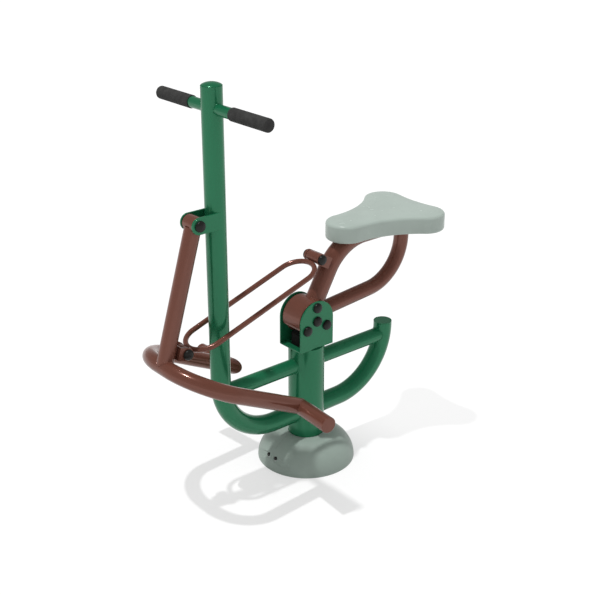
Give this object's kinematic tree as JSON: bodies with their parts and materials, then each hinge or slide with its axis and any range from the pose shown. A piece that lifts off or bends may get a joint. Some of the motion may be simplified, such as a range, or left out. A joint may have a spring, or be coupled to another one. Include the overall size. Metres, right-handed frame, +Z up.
{
  "type": "outdoor gym rider",
  "caption": "Outdoor exercise rider: a seat arm and a foot lever, joined by a loop link, swing on a post-mounted tube frame with a handlebar.",
  "frame": {"origin": "on the ground, on the axis of the post", "axes": "+Z up, +X from the post towards the seat, -Y on the rider's left"},
  "size_m": [1.0228, 0.6362, 1.268],
  "materials": {
    "green_paint": "glossy powder coat",
    "brown_paint": "glossy powder coat",
    "zinc_steel": "zinc plated",
    "bush_bronze": "plain bronze",
    "cap_plastic": "satin",
    "cover_plastic": "fine grain",
    "seat_plastic": "satin",
    "black_rubber": "matt"
  },
  "bodies": {
    "frame": {"anchor_plate": "zinc_steel", "anchor_bolt_1": "zinc_steel", "anchor_bolt_2": "zinc_steel", "anchor_bolt_3": "zinc_steel", "anchor_bolt_4": "zinc_steel", "cover_left": "cover_plastic", "cover_right": "cover_plastic", "cover_strap_front": "zinc_steel", "cover_strap_rear": "zinc_steel", "post": "green_paint", "front_tube": "green_paint", "rear_tube": "green_paint", "front_brace": "green_paint", "rear_brace": "green_paint", "pillar_cap": "green_paint", "rear_tube_cap": "green_paint", "handlebar": "green_paint", "left_grip": "black_rubber", "right_grip": "black_rubber", "lever_clevis_left": "green_paint", "lever_clevis_right": "green_paint", "lever_pin": "cap_plastic", "hub_plate_left": "green_paint", "hub_plate_right": "green_paint", "hub_base_plate": "green_paint", "hub_axle": "zinc_steel", "hub_flange_left": "zinc_steel", "hub_flange_right": "zinc_steel", "hub_bolt_left_1": "cap_plastic", "hub_bolt_left_2": "cap_plastic", "hub_bolt_left_3": "cap_plastic", "hub_bolt_left_4": "cap_plastic", "hub_bolt_right_1": "cap_plastic", "hub_bolt_right_2": "cap_plastic", "hub_bolt_right_3": "cap_plastic", "hub_bolt_right_4": "cap_plastic", "stop_block": "green_paint", "stop_buffer_front": "black_rubber", "stop_buffer_rear": "black_rubber"},
    "foot_lever": {"lever_hub": "brown_paint", "lever_bush_left": "bush_bronze", "lever_bush_right": "bush_bronze", "lever_tube": "brown_paint", "foot_bow": "brown_paint", "left_foot_peg": "brown_paint", "right_foot_peg": "brown_paint", "front_link_pin": "cap_plastic"},
    "link": {"link_loop": "brown_paint", "link_front_barrel": "brown_paint", "link_rear_barrel": "brown_paint", "link_bush_left": "bush_bronze", "link_bush_right": "bush_bronze"},
    "seat_arm": {"seat_hub": "brown_paint", "hub_bearing_left": "zinc_steel", "hub_bearing_right": "zinc_steel", "upper_arm_tube": "brown_paint", "lower_arm_tube": "brown_paint", "rear_link_pin": "cap_plastic", "seat_plate": "brown_paint", "seat": "seat_plastic"}
  },
  "joints": [
    {"name": "seat_arm_hinge", "type": "hinge", "parent": "frame", "child": "seat_arm", "pos_m": [0, 0, 0.49], "axis": [0, -1, 0], "range_deg": [0, 28]},
    {"name": "foot_lever_hinge", "type": "hinge", "parent": "frame", "child": "foot_lever", "pos_m": [-0.406, 0, 0.886], "axis": [0, 1, 0], "range_deg": [0, 16.1]},
    {"name": "link_hinge", "type": "hinge", "parent": "foot_lever", "child": "link", "pos_m": [-0.46204, 0, 0.51599], "axis": [0, -1, 0], "range_deg": [0, 12.6]}
  ],
  "couplings": [
    {"joint": "foot_lever_hinge", "follows": "seat_arm_hinge", "ratio": 0.5716},
    {"joint": "link_hinge", "follows": "seat_arm_hinge", "ratio": 0.4482}
  ]
}
